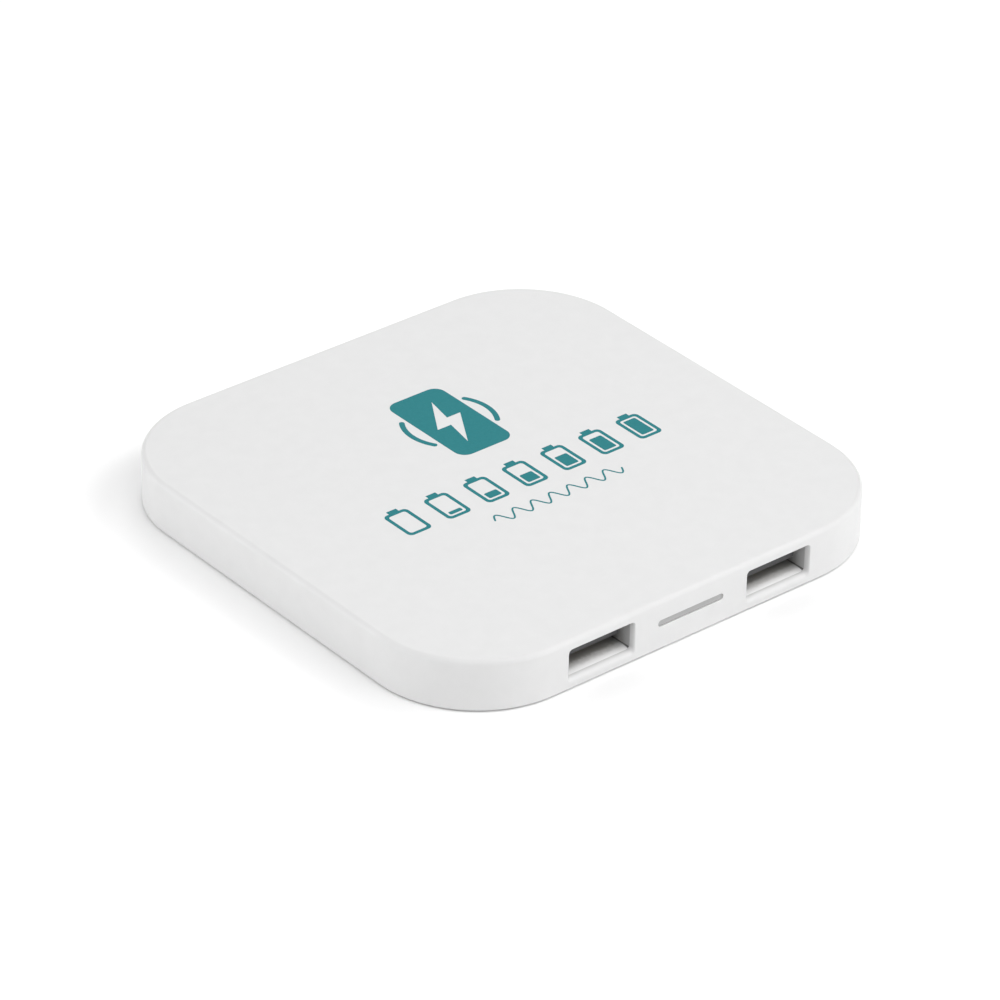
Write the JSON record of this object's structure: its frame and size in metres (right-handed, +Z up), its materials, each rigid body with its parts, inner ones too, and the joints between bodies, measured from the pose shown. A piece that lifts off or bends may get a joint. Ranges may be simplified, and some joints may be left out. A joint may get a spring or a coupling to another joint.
{
  "type": "wireless charging pad",
  "caption": "Square white wireless charging pad with rounded corners, two USB-A sockets and a status light bar in its front face, and a power inlet at the rear.",
  "frame": {"origin": "middle of the square case, on the surface that the feet stand on", "axes": "+Z up out of the charging face, -Y towards the face with the two USB-A sockets, +X to the right seen from that face"},
  "size_m": [0.09, 0.09, 0.0089],
  "materials": {
    "white_shell": "fine matte moulded texture",
    "foot_rubber": "matte",
    "zinc_screw": "satin zinc plate",
    "circuit_board": "solder mask over glass laminate",
    "socket_steel": "nickel plated, satin",
    "insulator_grey": "moulded",
    "contact_gold": "gold plated",
    "chip_black": "moulded epoxy",
    "frosted_light": "frosted translucent",
    "lamp_white": "clear resin on white housing",
    "coil_copper": "enamelled litz wire",
    "ferrite_grey": "sintered, matte",
    "tape_white": "acrylic adhesive film",
    "ceramic_tan": "fired, satin, tinned ends",
    "teal_ink_film": "pad-printed ink, silky"
  },
  "bodies": {
    "root": {"top_cover": "white_shell", "base_plate": "white_shell", "foot_front_left": "foot_rubber", "foot_front_right": "foot_rubber", "foot_rear_left": "foot_rubber", "foot_rear_right": "foot_rubber", "case_screw_front_left": "zinc_screw", "case_screw_front_right": "zinc_screw", "case_screw_rear_left": "zinc_screw", "case_screw_rear_right": "zinc_screw", "board_screw_left": "zinc_screw", "board_screw_right": "zinc_screw", "main_board": "circuit_board", "usb_shell_left": "socket_steel", "usb_shell_right": "socket_steel", "inlet_shell": "socket_steel", "usb_tongue_left": "insulator_grey", "usb_tongue_right": "insulator_grey", "usb_contact_left_1": "contact_gold", "usb_contact_left_2": "contact_gold", "usb_contact_left_3": "contact_gold", "usb_contact_left_4": "contact_gold", "usb_contact_right_1": "contact_gold", "usb_contact_right_2": "contact_gold", "usb_contact_right_3": "contact_gold", "usb_contact_right_4": "contact_gold", "inlet_contact_1": "contact_gold", "inlet_contact_2": "contact_gold", "inlet_contact_3": "contact_gold", "inlet_contact_4": "contact_gold", "inlet_contact_5": "contact_gold", "inlet_tongue": "chip_black", "controller_chip": "chip_black", "driver_chip": "chip_black", "port_chip": "chip_black", "sense_resistor": "chip_black", "light_pipe": "frosted_light", "led_left": "lamp_white", "led_right": "lamp_white", "charging_coil": "coil_copper", "ferrite_sheet": "ferrite_grey", "power_inductor": "ferrite_grey", "coil_tape": "tape_white", "resonant_cap_1": "ceramic_tan", "resonant_cap_2": "ceramic_tan", "resonant_cap_3": "ceramic_tan", "resonant_cap_4": "ceramic_tan", "input_cap": "ceramic_tan"}
  },
  "joints": []
}
